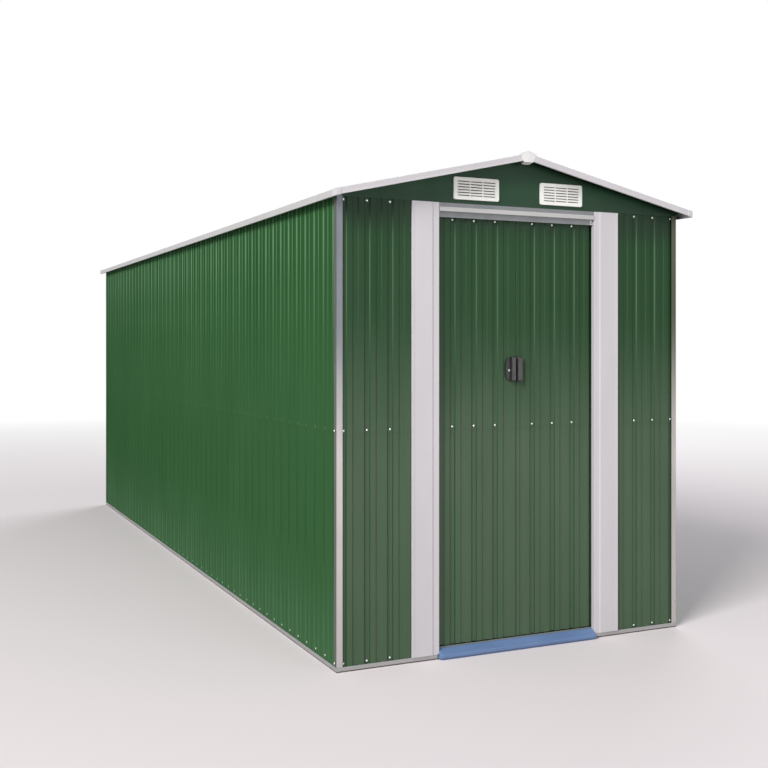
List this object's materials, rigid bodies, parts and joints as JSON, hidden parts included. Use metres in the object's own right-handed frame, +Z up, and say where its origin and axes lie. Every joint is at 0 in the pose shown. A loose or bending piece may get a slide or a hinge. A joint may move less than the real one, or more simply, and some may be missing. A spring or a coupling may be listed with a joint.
{
  "type": "metal storage shed",
  "caption": "Gable-roofed ribbed steel garden shed with sliding double doors, pale trims and gable vents.",
  "frame": {"origin": "on the ground, under the middle of the roof", "axes": "+X towards the right side seen from the front, +Y from the front with the doors to the back, +Z up"},
  "size_m": [1.901, 5.5566, 2.295],
  "materials": {
    "green_sheet": "satin dark green coat on ribbed steel sheet",
    "galvanised_steel": "dull zinc coating",
    "pale_trim": "satin pale grey coat on folded steel",
    "blue_threshold": "blue protective film on folded steel",
    "dark_plastic": "moulded dark grey plastic",
    "cream_plastic": "moulded cream plastic",
    "white_plastic": "moulded off-white plastic"
  },
  "bodies": {
    "shell": {"base_rail_front_left": "galvanised_steel", "base_rail_front_right": "galvanised_steel", "base_rail_left": "galvanised_steel", "base_rail_right": "galvanised_steel", "base_rail_back": "galvanised_steel", "corner_post_front_left": "galvanised_steel", "corner_post_front_right": "galvanised_steel", "corner_post_back_left": "galvanised_steel", "corner_post_back_right": "galvanised_steel", "left_wall": "green_sheet", "right_wall": "green_sheet", "back_wall": "green_sheet", "front_wall_left": "green_sheet", "front_wall_right": "green_sheet", "front_gable": "green_sheet", "back_gable": "green_sheet", "front_vents": "cream_plastic", "back_vents": "cream_plastic", "left_jamb": "pale_trim", "right_jamb": "pale_trim", "door_header": "pale_trim", "door_track": "galvanised_steel", "sill_track": "galvanised_steel", "threshold": "blue_threshold", "left_wall_rails": "galvanised_steel", "right_wall_rails": "galvanised_steel", "back_wall_rails": "galvanised_steel", "ridge_beam": "galvanised_steel", "left_purlin": "galvanised_steel", "right_purlin": "galvanised_steel", "roof_left": "green_sheet", "roof_right": "green_sheet", "left_eave_trim": "pale_trim", "right_eave_trim": "pale_trim", "front_verge_trim": "pale_trim", "back_verge_trim": "pale_trim", "ridge_cap": "pale_trim", "ridge_end_caps": "white_plastic", "eave_corner_caps": "white_plastic"},
    "left_leaf": {"left_door": "green_sheet", "left_door_braces": "galvanised_steel", "left_door_runners": "dark_plastic", "left_door_handle": "dark_plastic"},
    "right_leaf": {"right_door": "green_sheet", "right_door_braces": "galvanised_steel", "right_door_runners": "dark_plastic", "right_door_handle": "dark_plastic"}
  },
  "joints": [
    {"name": "left_door_slide", "type": "slide", "parent": "shell", "child": "left_leaf", "axis": [-1, 0, 0], "range_m": [0, 0.35]},
    {"name": "right_door_slide", "type": "slide", "parent": "shell", "child": "right_leaf", "axis": [1, 0, 0], "range_m": [0, 0.37]}
  ]
}
